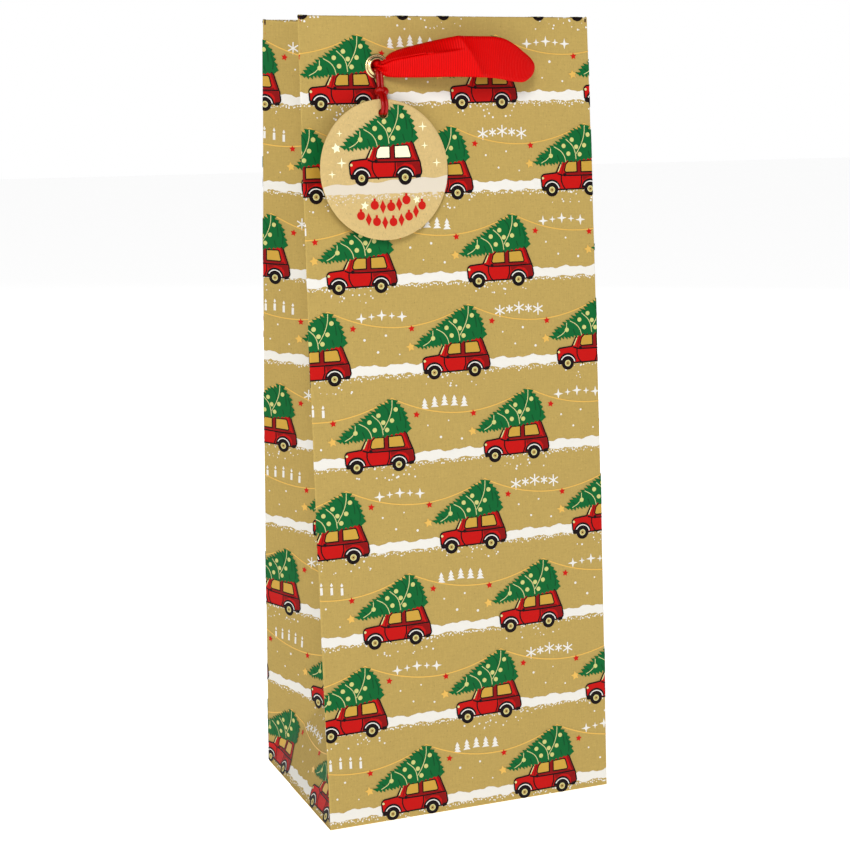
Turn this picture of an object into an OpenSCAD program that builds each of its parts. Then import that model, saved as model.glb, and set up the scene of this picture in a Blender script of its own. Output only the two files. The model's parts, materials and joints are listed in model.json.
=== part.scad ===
// Bottle gift bag: a folded kraft-paper bag with a pinched mouth, turned-in hems over
// top boards, brass eyelets, two grosgrain ribbon handles and a round tag on a cord.
// Millimetres, +Z up, origin in the middle of the base, front towards -Y.

/* [Bag] */
// Width across the front panel
bag_w = 127; // [110:1:140]
// Depth front to back at the base
bag_d = 89; // [80:1:100]
// Length of the front panel from the base fold to the top fold
bag_h = 330; // [300:5:360]
// Depth left between the front and back panels at the pinched mouth
mouth_d = 48; // [44:1:60]
// Thickness of the printed paper
paper_t = 0.3; // [0.2:0.05:0.35]

/* [Top band] */
// Height of the turned-in hem
hem_h = 38; // [34:1:45]
// Thickness of the board glued under the hem
top_board_t = 1; // [0.8:0.1:1.2]
// How far the band stays in from the side folds, clear of the gussets
band_inset = 5; // [5:0.5:7]

/* [Base] */
// How far each long base flap reaches past the middle
flap_past = 11; // [8:1:16]
// How far each short end flap reaches in
end_flap_reach = 40; // [30:1:42]
// Thickness of the loose base board
base_board_t = 1.2; // [1:0.1:1.6]

/* [Eyelets] */
// Distance between the two eyelets of one panel
eyelet_gap = 62; // [56:1:66]
// Height of the eyelets on the panel, measured along the panel from the base
eyelet_v = 310; // [290:1:312]
// Radius of the eyelet's flange
flange_r = 5; // [4.5:0.1:5.5]
// Radius of the eyelet's clear hole
hole_r = 2.4; // [2.3:0.05:2.5]

/* [Handles] */
// Thickness of the ribbon strap
ribbon_t = 0.8; // [0.6:0.1:0.9]
// Radius of the knot that stops the ribbon inside the bag
stop_knot_r = 5; // [4:0.5:5.5]

/* [Tag] */
// Diameter of the round tag
tag_dia = 56; // [50:1:58]
// Thickness of the tag card
tag_t = 0.6; // [0.5:0.1:0.7]
// Turn of the tag about its upright axis, left edge standing off the bag
tag_turn = 5; // [3:0.5:6]
// Diameter of the tag's cord
cord_dia = 1.5; // [1.3:0.1:1.5]

/* [Hidden] */

$fn = 48;
kraft = [0.77, 0.65, 0.38];
kraft_inside = [0.80, 0.69, 0.45];
board_grey = [0.62, 0.58, 0.52];
pale_brass = [0.86, 0.77, 0.50];
ribbon_red = [0.86, 0.08, 0.06];
tag_card = [0.86, 0.75, 0.51];

// The front and back panels lean in by this angle.
lean = asin((bag_d - mouth_d) / 2 / bag_h);
// The gusset's foot triangle tips in by this angle, which keeps its two slanted folds at 45
// degrees to the side fold.
foot_h = bag_d / 2;
foot_tip = acos((1 - sin(lean)) / cos(lean));
// The gusset's inward fold rises a little less steeply than the side folds.
fold_lean = 4.5;

// Stack of layers under the base, from the ground up
z_inner_flap = paper_t;
z_end_flap = 2 * paper_t;
z_base_board = 3 * paper_t;
// Walls start just above the two long flaps.
wall_z = z_end_flap + 0.05;
// Stack of layers in the top band, from the outer face inwards
y_board = paper_t;
y_hem = paper_t + top_board_t;
band_t = 2 * paper_t + top_board_t;
fold_gap = 0.3;
layer_gap = 0.02;

// The eyelet's barrel and its two lips
barrel_r = hole_r + 0.35;
paper_hole_r = barrel_r + 0.05;
flange_t = 0.8;
roll_r = 4;
roll_t = 0.7;

// Where the tag hangs, in the front panel's own frame: x, out from the panel, up the panel
tag_drop = 41.2;
hole_from_top = 5.6;
tag_hole_r = 2;
tag_out = 5.2;
tag_x = -eyelet_gap / 2;
tag_v = eyelet_v - tag_drop;
tag_hole_v = tag_v + tag_dia / 2 - hole_from_top;
knot_v = eyelet_v - 10.6;
knot_out = 3.5;
tag_knot_r = 2;

// ---- frames ------------------------------------------------------------------------------
// Front panel's frame: x across, y inwards through the paper, z up along the panel
module on_front() {
  translate([0, -bag_d / 2, 0]) rotate([-lean, 0, 0]) children();
}
module on_back() {
  rotate([0, 0, 180]) on_front() children();
}
// Axis of an eyelet in a panel's frame, with z pointing into the bag
module at_eyelet(side) {
  translate([side * eyelet_gap / 2, 0, eyelet_v]) rotate([-90, 0, 0]) children();
}

// ---- points on the left gusset's front half -------------------------------------------------
function unit(a) = a / norm(a);
function side_fold(v) = [-bag_w / 2, -bag_d / 2 + v * sin(lean), v * cos(lean)];
foot_tip_point = [-bag_w / 2 + foot_h * sin(foot_tip), 0, foot_h * cos(foot_tip)];
function fold_z(v) = foot_tip_point[2] + (v - foot_h) * cos(fold_lean);
function fold_in(v) =
  let (half = bag_d / 2 - v * sin(lean), drop = v * cos(lean) - fold_z(v))
  sqrt(foot_h * foot_h - half * half - drop * drop);
function inner_fold(v) = v <= foot_h
  ? side_fold(0) + (foot_tip_point - side_fold(0)) * v / foot_h
  : [-bag_w / 2 + fold_in(v), 0, fold_z(v)];
function across(v) = unit(inner_fold(v) - side_fold(v));
function inwards(v) = unit(cross(across(v), [0, sin(lean), cos(lean)]));
function on_gusset(v, s, depth) = side_fold(v) + across(v) * s + inwards(v) * depth;

// Rows up the gusset, close enough for its slight twist
foot_rows = [6, 14, 24, 34];
wall_rows = [for (i = [0:11]) foot_h + i * (bag_h - hem_h - foot_h) / 12];
band_rows = [for (i = [0:4]) bag_h - hem_h + i * (hem_h - paper_t) / 4];

// A closed sheet of paper on the gusset, from the first distance from the side fold to the
// inward fold. Both of its faces are split along the same diagonals.
function far_edge(v) = min(v, foot_h) - (v < foot_h ? fold_gap : layer_gap);
module gusset_sheet(rows, cuts, depth) {
  n = len(rows);
  m = len(cuts) + 1;
  points = [for (d = [depth, depth + paper_t], v = rows, s = concat(cuts, far_edge(v)))
    on_gusset(v, s, d)];
  function at(i, j, layer) = (layer * n + i) * m + j;
  outer = [for (i = [0:n - 2], j = [0:m - 2])
    each [[at(i, j, 0), at(i, j + 1, 0), at(i + 1, j + 1, 0)],
      [at(i, j, 0), at(i + 1, j + 1, 0), at(i + 1, j, 0)]]];
  inner = [for (i = [0:n - 2], j = [0:m - 2])
    each [[at(i, j, 1), at(i + 1, j + 1, 1), at(i, j + 1, 1)],
      [at(i, j, 1), at(i + 1, j, 1), at(i + 1, j + 1, 1)]]];
  near = [for (i = [0:n - 2])
    each [[at(i, 0, 0), at(i + 1, 0, 0), at(i + 1, 0, 1)],
      [at(i, 0, 0), at(i + 1, 0, 1), at(i, 0, 1)]]];
  far = [for (i = [0:n - 2])
    each [[at(i, m - 1, 0), at(i, m - 1, 1), at(i + 1, m - 1, 1)],
      [at(i, m - 1, 0), at(i + 1, m - 1, 1), at(i + 1, m - 1, 0)]]];
  bottom = [for (j = [0:m - 2])
    each [[at(0, j, 0), at(0, j, 1), at(0, j + 1, 1)],
      [at(0, j, 0), at(0, j + 1, 1), at(0, j + 1, 0)]]];
  top = [for (j = [0:m - 2])
    each [[at(n - 1, j, 0), at(n - 1, j + 1, 0), at(n - 1, j + 1, 1)],
      [at(n - 1, j, 0), at(n - 1, j + 1, 1), at(n - 1, j, 1)]]];
  polyhedron(points = points, faces = concat(outer, inner, near, far, bottom, top),
    convexity = 4);
}

// How far the gusset's edge stays back from the side fold
wall_inset = 1.4;
module wall_half() {
  gusset_sheet(concat(foot_rows, wall_rows, band_rows), [wall_inset, band_inset], 0);
}
module wall_half_hem() { gusset_sheet(band_rows, [band_inset], paper_t + layer_gap); }

// ---- panels ---------------------------------------------------------------------------------
module eyelet_holes() {
  for (side = [-1, 1])
    at_eyelet(side) cylinder(r = paper_hole_r, h = 20, center = true);
}
module panel() {
  difference() {
    translate([-bag_w / 2, 0, wall_z]) cube([bag_w, paper_t, bag_h - paper_t - wall_z]);
    eyelet_holes();
  }
}
module front_panel() { color(kraft) on_front() panel(); }
module back_panel() { color(kraft) on_back() panel(); }

// ---- gussets --------------------------------------------------------------------------------
module foot_triangle() {
  translate([-bag_w / 2, 0, 0]) rotate([0, foot_tip, 0]) rotate([90, 0, 90])
    linear_extrude(paper_t)
      polygon([[-foot_h + 1.5, wall_z + 0.15], [foot_h - 1.5, wall_z + 0.15], [0, foot_h - 1.2]]);
}
module left_gusset_front() { color(kraft) wall_half(); }
module left_gusset_back() { color(kraft) mirror([0, 1, 0]) wall_half(); }
module left_gusset_foot() { color(kraft) foot_triangle(); }
module right_gusset_front() { color(kraft) mirror([1, 0, 0]) wall_half(); }
module right_gusset_back() { color(kraft) rotate([0, 0, 180]) wall_half(); }
module right_gusset_foot() { color(kraft) mirror([1, 0, 0]) foot_triangle(); }

// Glued lap where the sheet closes on itself, inside the back panel
seam_w = 12;
seam_from = 4;
module side_seam_tab() {
  color(kraft_inside) on_back()
    translate([bag_w / 2 - band_inset - seam_w, paper_t, seam_from])
      cube([seam_w, paper_t, bag_h - hem_h - seam_from - 1]);
}

// ---- base -----------------------------------------------------------------------------------
module base_outer_flap() {
  color(kraft) translate([-bag_w / 2, -bag_d / 2, 0]) cube([bag_w, bag_d / 2 + flap_past, paper_t]);
}
module base_inner_flap() {
  color(kraft) translate([-bag_w / 2, -flap_past, z_inner_flap])
    cube([bag_w, bag_d / 2 + flap_past, paper_t]);
}
module end_flap() {
  wide = bag_d / 2 - 1;
  root = bag_w / 2 - 1;
  translate([0, 0, z_end_flap]) linear_extrude(paper_t)
    polygon([[-root, -wide], [-root, wide],
      [-root + end_flap_reach, wide - end_flap_reach],
      [-root + end_flap_reach, end_flap_reach - wide]]);
}
module base_left_flap() { color(kraft_inside) end_flap(); }
module base_right_flap() { color(kraft_inside) mirror([1, 0, 0]) end_flap(); }
module base_board() {
  long = bag_w - 3.4;
  deep = bag_d - 2.6;
  corner = 2;
  color(board_grey) translate([0, 0, z_base_board]) linear_extrude(base_board_t)
    polygon([[-long / 2 + corner, -deep / 2], [long / 2 - corner, -deep / 2],
      [long / 2, -deep / 2 + corner], [long / 2, deep / 2 - corner],
      [long / 2 - corner, deep / 2], [-long / 2 + corner, deep / 2],
      [-long / 2, deep / 2 - corner], [-long / 2, -deep / 2 + corner]]);
}

// ---- top band -------------------------------------------------------------------------------
module band_hem() {
  w = bag_w - 2 * band_inset;
  difference() {
    union() {
      translate([-w / 2, y_hem, bag_h - hem_h]) cube([w, paper_t, hem_h]);
      translate([-w / 2, 0, bag_h - paper_t]) cube([w, band_t, paper_t]);
    }
    eyelet_holes();
  }
}
module band_board() {
  w = bag_w - 2 * band_inset - 1;
  difference() {
    translate([-w / 2, y_board, bag_h - hem_h + 2]) cube([w, top_board_t, hem_h - 2 - paper_t]);
    eyelet_holes();
  }
}
module front_hem() { color(kraft_inside) on_front() band_hem(); }
module back_hem() { color(kraft_inside) on_back() band_hem(); }
module left_front_gusset_hem() { color(kraft_inside) wall_half_hem(); }
module left_back_gusset_hem() { color(kraft_inside) mirror([0, 1, 0]) wall_half_hem(); }
module right_front_gusset_hem() { color(kraft_inside) mirror([1, 0, 0]) wall_half_hem(); }
module right_back_gusset_hem() { color(kraft_inside) rotate([0, 0, 180]) wall_half_hem(); }
module front_top_board() { color(board_grey) on_front() band_board(); }
module back_top_board() { color(board_grey) on_back() band_board(); }

// ---- eyelets --------------------------------------------------------------------------------
// A flange outside, a barrel through the band and a rolled lip inside
module eyelet(side) {
  color(pale_brass) at_eyelet(side) difference() {
    union() {
      translate([0, 0, -flange_t / 2]) cylinder(r = flange_r, h = flange_t / 2);
      translate([0, 0, -flange_t]) cylinder(r1 = 3.6, r2 = flange_r, h = flange_t / 2);
      cylinder(r = barrel_r, h = band_t);
      translate([0, 0, band_t]) cylinder(r1 = roll_r, r2 = barrel_r, h = roll_t);
    }
    cylinder(r = hole_r, h = 20, center = true);
  }
}
module front_left_eyelet() { on_front() eyelet(-1); }
module front_right_eyelet() { on_front() eyelet(1); }
module back_left_eyelet() { on_back() eyelet(1); }
module back_right_eyelet() { on_back() eyelet(-1); }

// ---- ribbon handles ---------------------------------------------------------------------------
// The gathered ribbon passes through the eyelet and ends in a knot inside the bag.
neck_r = 1.45;
neck_up = 0.75;
neck_out = 0.9;
module stop_knot(side) {
  knot_y = band_t + roll_t + stop_knot_r;
  color(ribbon_red) at_eyelet(side) union() {
    translate([0, -neck_up, -neck_out]) cylinder(r = neck_r, h = knot_y + neck_out);
    translate([0, 0, knot_y]) sphere(r = stop_knot_r);
  }
}
module front_left_knot() { on_front() stop_knot(-1); }
module front_right_knot() { on_front() stop_knot(1); }
module back_left_knot() { on_back() stop_knot(1); }
module back_right_knot() { on_back() stop_knot(-1); }

// Stations along the strap: x, out from the panel, rise of its middle above the eyelets,
// half its height there. It is gathered at both ends and full width in between.
strap = [
  [-28.9, 2.2, 0.0, 1.1], [-27.4, 3.6, 0.2, 3.4], [-24, 6.6, 0.6, 4.8], [-19, 10, 1.2, 6.2],
  [-12, 14, 2.0, 7.6], [-4, 17.6, 3.0, 8.6], [5, 18.8, 3.4, 9.3], [14, 18.6, 3.5, 9.4],
  [22, 17, 3.2, 9.3], [28.6, 13.6, 2.4, 8.6], [32.6, 9.6, 1.4, 7.0], [33, 6.4, 0.6, 4.6],
  [31.4, 3.8, 0.1, 2.6], [29.6, 2.2, 0.0, 1.1]];
function strap_way(i) =
  let (a = strap[max(i - 1, 0)], b = strap[min(i + 1, len(strap) - 1)])
  unit([b[0] - a[0], b[1] - a[1]]);
function strap_point(i, thick, up) =
  let (s = strap[i], w = strap_way(i))
  [s[0] - w[1] * thick, -(s[1] + w[0] * thick), eyelet_v + s[2] + up * s[3]];
module strap_solid() {
  n = len(strap);
  half = ribbon_t / 2;
  points = [for (i = [0:n - 1])
    each [strap_point(i, half, -1), strap_point(i, half, 1),
      strap_point(i, -half, 1), strap_point(i, -half, -1)]];
  sides = [for (i = [0:n - 2], k = [0:3])
    let (a = 4 * i + k, b = 4 * i + (k + 1) % 4)
    each [[a, b + 4, b], [a, a + 4, b + 4]]];
  last = 4 * (n - 1);
  ends = [[0, 1, 2], [0, 2, 3], [last, last + 2, last + 1], [last, last + 3, last + 2]];
  polyhedron(points = points, faces = concat(sides, ends), convexity = 6);
}
module front_handle() { color(ribbon_red) on_front() strap_solid(); }
module back_handle() { color(ribbon_red) on_back() strap_solid(); }

// ---- tag ----------------------------------------------------------------------------------------
// Tag's frame: turned about its upright axis, with y inwards through the card
module on_tag() {
  on_front() translate([tag_x, -tag_out, 0]) rotate([0, 0, tag_turn]) children();
}
module gift_tag() {
  color(tag_card) on_tag() difference() {
    translate([0, 0, tag_v]) rotate([90, 0, 0])
      cylinder(d = tag_dia, h = tag_t, center = true, $fn = 96);
    translate([0, 0, tag_hole_v]) rotate([90, 0, 0])
      cylinder(r = tag_hole_r, h = 4, center = true);
  }
}

// A round cord swept along a route with 8 sides; the last side of each ring joins the first.
cord_sides = 8;
function way(route, i) =
  unit(route[min(i + 1, len(route) - 1)] - route[max(i - 1, 0)]);
function ring(centre, along) =
  let (side = [1, 0, 0], other = unit(cross(along, side)), first = cross(other, along))
  [for (k = [0:cord_sides - 1])
    centre + cord_dia / 2 * (cos(360 * k / cord_sides) * first
      + sin(360 * k / cord_sides) * other)];
module cord(route) {
  n = len(route);
  m = cord_sides;
  points = [for (i = [0:n - 1]) each ring(route[i], way(route, i))];
  sides = [for (i = [0:n - 2], k = [0:m - 1])
    let (a = i * m + k, b = i * m + (k + 1) % m)
    each [[a, b, b + m], [a, b + m, a + m]]];
  ends = [[for (k = [m - 1:-1:0]) k], [for (k = [0:m - 1]) (n - 1) * m + k]];
  polyhedron(points = points, faces = concat(sides, ends), convexity = 6);
}

// Two strands side by side come out of the left eyelet and drop to the knot.
strand_gap = 1.84;
// Each point: out from the panel, up the panel
strand_route = [[1.5, 308.6], [2.1, 308.3], [2.6, 307.6], [2.9, 306.4], [3.2, 304.6],
  [3.4, 302.8], [3.5, 301.2]];
tail_route = [[0.9, 308.69], [-0.6, 308.69], [-2.2, 308.69]];
// The loops under the knot pass in front of the card, through its hole and up behind it.
loop_gap = 1.6;
loop_r = 2.5;
loop_v = tag_hole_v + 0.3 + loop_r;
loop_route = concat([[6.4, 297.6], [7.1, 296.6], [7.6, 295.3]],
  [for (a = [0:-30:-180]) [tag_out + loop_r * cos(a), loop_v + loop_r * sin(a)]],
  [[2.7, 295.2], [2.8, 296.4]]);
module strands(route, gap) {
  for (side = [-1, 1])
    cord([for (p = route) [tag_x + side * gap / 2, -p[0], p[1]]]);
}
module tag_cord() { color(ribbon_red) on_front() strands(strand_route, strand_gap); }
module tag_cord_tail() { color(ribbon_red) on_front() strands(tail_route, strand_gap); }
module tag_cord_loop() { color(ribbon_red) on_front() strands(loop_route, loop_gap); }
module tag_cord_knot() {
  color(ribbon_red) on_front() translate([tag_x, -knot_out, knot_v]) rotate([0, 90, 0])
    union() {
      cylinder(r = tag_knot_r, h = 2.4, center = true);
      for (end = [-1, 1])
        translate([0, 0, end * 1.2]) sphere(r = tag_knot_r - 0.1);
    }
}

front_panel();
back_panel();
left_gusset_front();
left_gusset_back();
left_gusset_foot();
right_gusset_front();
right_gusset_back();
right_gusset_foot();
side_seam_tab();
base_outer_flap();
base_inner_flap();
base_left_flap();
base_right_flap();
base_board();
front_hem();
back_hem();
left_front_gusset_hem();
left_back_gusset_hem();
right_front_gusset_hem();
right_back_gusset_hem();
front_top_board();
back_top_board();
front_left_eyelet();
front_right_eyelet();
back_left_eyelet();
back_right_eyelet();
front_left_knot();
front_right_knot();
back_left_knot();
back_right_knot();
front_handle();
back_handle();
gift_tag();
tag_cord();
tag_cord_knot();
tag_cord_loop();
tag_cord_tail();
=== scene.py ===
"""A bottle gift bag of printed kraft paper: the looks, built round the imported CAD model.

The bag is one printed sheet. Flat places on it are (s, v) in millimetres: s runs round the bag
from the front-left fold, to the right across the front, and v runs up from the base fold.
on_bag() folds a flat place into the standing bag, so the paper and every ink printed on it
share one shape. Lengths are in millimetres until build() makes a mesh in metres.
"""
import json
import math
import random

import bpy
import numpy as np
from mathutils import Matrix, Vector
from mathutils.geometry import delaunay_2d_cdt


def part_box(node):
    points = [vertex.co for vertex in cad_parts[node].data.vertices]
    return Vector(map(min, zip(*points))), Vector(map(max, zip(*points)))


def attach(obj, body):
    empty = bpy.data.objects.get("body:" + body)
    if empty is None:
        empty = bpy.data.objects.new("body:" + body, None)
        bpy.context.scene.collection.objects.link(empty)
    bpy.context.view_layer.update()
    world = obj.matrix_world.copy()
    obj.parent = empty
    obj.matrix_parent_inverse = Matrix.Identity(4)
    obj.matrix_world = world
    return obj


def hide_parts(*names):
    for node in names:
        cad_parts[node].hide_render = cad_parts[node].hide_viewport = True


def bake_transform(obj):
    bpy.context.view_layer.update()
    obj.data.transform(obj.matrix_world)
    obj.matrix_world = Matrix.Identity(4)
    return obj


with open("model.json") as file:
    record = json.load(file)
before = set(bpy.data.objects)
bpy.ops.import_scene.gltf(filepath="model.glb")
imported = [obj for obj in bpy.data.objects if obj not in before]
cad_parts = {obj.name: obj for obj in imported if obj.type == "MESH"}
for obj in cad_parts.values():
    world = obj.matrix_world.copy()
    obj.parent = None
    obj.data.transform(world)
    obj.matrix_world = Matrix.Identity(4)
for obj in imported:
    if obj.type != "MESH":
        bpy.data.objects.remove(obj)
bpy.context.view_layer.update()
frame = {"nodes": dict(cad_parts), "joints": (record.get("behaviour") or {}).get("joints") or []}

MM = 0.001


def box_mm(node):
    """Lowest and highest corner of a CAD node, in millimetres."""
    low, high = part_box(node)
    return np.array(low) / MM, np.array(high) / MM


def joint(name):
    """A joint's record from the frame."""
    return next(j for j in frame["joints"] if j["name"] == name)


# ---- the bag's sizes, from the frame ----
SWING = joint("tag_swing")  # turns about the front panel's normal, through the left eyelet
LEAN = math.atan2(SWING["axis"][2], -SWING["axis"][1])  # how far the front and back lean in
SIN, COS = math.sin(LEAN), math.cos(LEAN)
W = 2 * box_mm("front_panel")[1][0]  # width
D = -2 * box_mm("base_outer_flap")[0][1]  # depth at the base
H = box_mm("front_hem")[1][2] / COS  # height, measured up the leaning panel
HALF = D / 2
ROUND = 2 * (W + D)  # once round the bag
PAPER = box_mm("base_outer_flap")[1][2]  # the paper's thickness
HEM = 38  # how far the sheet runs past the rim, down the inside
BAND = 1.6  # thickness of the top band, with its card strip and hem
FLAP_PAST = box_mm("base_outer_flap")[1][1]  # how far the long base flaps pass the middle
FOOT_TIP = math.acos((1 - SIN) / COS)  # lean of the gussets' foot triangles
FOLD_LEAN = math.radians(4.5)  # lean of the gussets' middle folds above the foot
EYELET_X = SWING["pos_m"][0] / MM  # the front left eyelet, which the others mirror
EYELET_V = SWING["pos_m"][2] / MM / COS
EDGE_BOW = 0.9  # how far the side folds stand out at half height
SWELL = 0.9  # how far the front and back belly out; the gussets do less


def panel_point(x, out, v):
    """A point given in the front panel's own frame: across, out from the paper, up the panel."""
    x, out, v = (np.asarray(a, float) for a in (x, out, v))
    return np.stack(np.broadcast_arrays(x, v * SIN - HALF - out * COS, out * SIN + v * COS), -1)


def turned(points):
    """The same points half a turn round the bag's upright axis."""
    return points * np.array([-1, -1, 1])


def smooth_step(x):
    """0 to 1 as x runs from 0 to 1, flat at both ends."""
    x = np.clip(x, 0, 1)
    return x * x * (3 - 2 * x)


# ---- folding the flat sheet ----
def side_bow(v):
    """How far the side folds stand out sideways at height v."""
    return EDGE_BOW * np.sin(np.pi * np.clip(v / H, 0, 1))


def panel_wall(x, v, base):
    """Front panel at x across, with its flap turned under at height base."""
    up = np.maximum(v, base)
    under = np.maximum(base - v, 0)
    wide = x * (1 + side_bow(v) / (W / 2))
    return wide, up * SIN - HALF + under, up * COS


def gusset_wall(t, v, base):
    """Left gusset at t from the front-left fold: inwards from the side, y and z."""
    back = t > HALF
    t = np.where(back, D - t, t)
    up = np.maximum(v, base)
    low = np.minimum(up, HALF)
    side_y, side_z = up * SIN - HALF, up * COS
    fold_z = HALF * math.cos(FOOT_TIP) + np.maximum(up - HALF, 0) * math.cos(FOLD_LEAN)
    deep = HALF**2 - (HALF - up * SIN) ** 2 - (up * COS - fold_z) ** 2
    above = up > HALF
    fold_x = np.where(above, np.sqrt(np.maximum(deep, 0)), low * math.sin(FOOT_TIP))
    fold_y = np.where(above, 0, low - HALF)
    fold_z = np.where(above, fold_z, low * math.cos(FOOT_TIP))
    share = np.clip(t / low, 0, 1)
    inwards = share * fold_x + np.maximum(base - v, 0)
    y = side_y + share * (fold_y - side_y) + np.maximum(t - low, 0)
    z = side_z + share * (fold_z - side_z)
    return inwards - side_bow(v) * (1 - share), np.where(back, -y, y), z


# Heights of the flaps' undersides: the front flap lies lowest, with room for its print
BASE_LEVELS = {"front": 1.2 * PAPER, "back": 1.93 * PAPER, "side": 2.2 * PAPER}


def creased(s, v):
    """The sheet folded with sharp creases."""
    s = (s + D) % ROUND - D
    front = panel_wall(s - W / 2, v, BASE_LEVELS["front"])
    back = panel_wall(s - W - D - W / 2, v, BASE_LEVELS["back"])
    left = gusset_wall(np.clip(-s, 0, D), v, BASE_LEVELS["side"])
    right = gusset_wall(np.clip(s - W, 0, D), v, BASE_LEVELS["side"])
    where = [s < 0, s < W, s < W + D]
    x = np.select(where, [left[0] - W / 2, front[0], W / 2 - right[0]], -back[0])
    y = np.select(where, [left[1], front[1], right[1]], -back[1])
    z = np.select(where, [left[2], front[2], right[2]], back[2])
    return np.stack([x, y, z], -1)


def folded(s, v):
    """The sheet with its creases rounded, by averaging over a little of the sheet around. The
    flaps under the base are cut apart, so they aren't averaged across their side edges."""
    s = (s + D) % ROUND - D
    low = np.select([s < 0, s < W, s < W + D], [-D, 0, W], W + D) + 0.002
    high = np.select([s < 0, s < W, s < W + D], [0, W, W + D], ROUND - D) - 0.002
    total = 0
    for ds in (-0.8, -0.4, 0, 0.4, 0.8):
        for dv in (-0.6, 0, 0.6):
            near = np.where(v + dv < 1, np.clip(s + ds, low, high), s + ds)
            total = total + creased(near, v + dv)
    return total / 15


def swell(s, v):
    """How far the paper stands proud of its flat panels: a soft belly and shallow waves."""
    s = (s + D) % ROUND - D
    across = np.select([s < 0, s < W, s < W + D], [-s / HALF, s / W, (s - W) / HALF], (s - W - D) / W)
    belly = np.abs(np.sin(np.pi * across))
    free = np.sin(np.pi * np.clip(v / (H - HEM), 0, 1))
    waves = (
        0.20 * np.sin(0.047 * s + 0.031 * v + 1.1)
        + 0.16 * np.sin(-0.083 * s + 0.052 * v + 4.0)
        + 0.10 * np.sin(0.121 * s + 0.089 * v + 2.3)
    )
    on_side = np.where((s < 0) | ((s > W) & (s < W + D)), 0.45, 1.0)
    board_edge = 0.10 * np.exp(-(((v - H + HEM) / 1.2) ** 2))
    lift = belly * (SWELL * free * on_side + waves * (0.25 + 0.75 * free) + board_edge)
    return lift * smooth_step(v / 6)


def fold_distance(s):
    """Distance along the sheet to the nearest side fold."""
    s = (s + D) % ROUND - D
    return np.min([np.abs(s - f) for f in (-D, 0, W, W + D, W + D + W)], axis=0)


def on_bag(s, v, out=0.0):
    """Places on the sheet, lifted out along the paper's face. Past v = H the sheet turns in over
    the board and runs down inside the bag."""
    s, v, out = np.broadcast_arrays(*(np.asarray(a, float) for a in (s, v, out)))
    in_panel = np.where((s % (W + D)) < W, 1.0, 0.0)
    r = 0.35 + (BAND / 2 - 0.35) * smooth_step((fold_distance(s) - 1.5) / 4) * in_panel
    start = H - r
    turn = np.clip((v - start) / r, 0, np.pi)
    past = np.maximum(v - start - np.pi * r, 0)
    height = np.minimum(v, start) + r * np.sin(turn) - past + out * np.sin(turn)
    depth = r * (1 - np.cos(turn)) - out * np.cos(turn)
    step = 0.4
    along_s = folded(s + step, height) - folded(s - step, height)
    along_v = folded(s, height + step) - folded(s, height - step)
    normal = np.cross(along_s, along_v)
    normal /= np.maximum(np.linalg.norm(normal, axis=-1, keepdims=True), 1e-9)
    lift = swell(s, height) - depth
    return folded(s, height) + normal * lift[..., None]


# ---- meshes ----
def build(name, points, faces, material, body, uv=None, smooth=True):
    """A mesh piece from points in millimetres, riding on a body. uv is one pair per point."""
    mesh = bpy.data.meshes.new(name)
    mesh.from_pydata((np.asarray(points) * MM).tolist(), [], faces)
    if uv is not None:
        layer = mesh.uv_layers.new(name="sheet")
        corners = np.empty(len(mesh.loops), dtype=np.int32)
        mesh.loops.foreach_get("vertex_index", corners)
        layer.data.foreach_set("uv", (np.asarray(uv)[corners] * MM).ravel())
    mesh.polygons.foreach_set("use_smooth", [smooth] * len(mesh.polygons))
    mesh.update()
    piece = bpy.data.objects.new(name, mesh)
    bpy.context.scene.collection.objects.link(piece)
    piece.data.materials.append(material)
    if body:
        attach(piece, body)
    return piece


def grid_faces(rows, columns, close=False, loop=False):
    """Quads of a grid of points stored row by row. close joins the last column to the first, and
    loop joins the last row to the first."""
    faces = []
    for i in range(rows if loop else rows - 1):
        this, following = i * columns, (i + 1) % rows * columns
        for j in range(columns if close else columns - 1):
            k = (j + 1) % columns
            faces.append((this + j, this + k, following + k, following + j))
    return faces


def renumbered(faces):
    """Which points the faces use, and the faces numbered by those points alone."""
    used = sorted({i for face in faces for i in face})
    place = {old: new for new, old in enumerate(used)}
    return used, [tuple(place[i] for i in face) for face in faces]


def thicken(piece, thickness, offset=-1.0):
    """Gives a sheet its thickness in millimetres, on the inner side unless offset says otherwise."""
    solid = piece.modifiers.new("thickness", "SOLIDIFY")
    solid.thickness = thickness * MM
    solid.offset = offset


def curve_through(knots, count):
    """Points evenly spaced along a smooth Catmull-Rom curve through the knots, and how far along
    each one is."""
    knots = np.asarray(knots, float)
    padded = np.vstack([2 * knots[0] - knots[1], knots, 2 * knots[-1] - knots[-2]])
    t = np.linspace(0, 1, 24, endpoint=False)[:, None]
    fine = []
    for a, b, c, d in zip(padded, padded[1:], padded[2:], padded[3:]):
        fine.append(b + 0.5 * t * (c - a + t * (2 * a - 5 * b + 4 * c - d + t * (3 * (b - c) + d - a))))
    fine = np.vstack(fine + [knots[-1:]])
    far = np.concatenate([[0], np.cumsum(np.linalg.norm(np.diff(fine[:, :3], axis=0), axis=1))])
    even = np.linspace(0, far[-1], count)
    return np.stack([np.interp(even, far, fine[:, k]) for k in range(knots.shape[1])], -1), even


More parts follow.
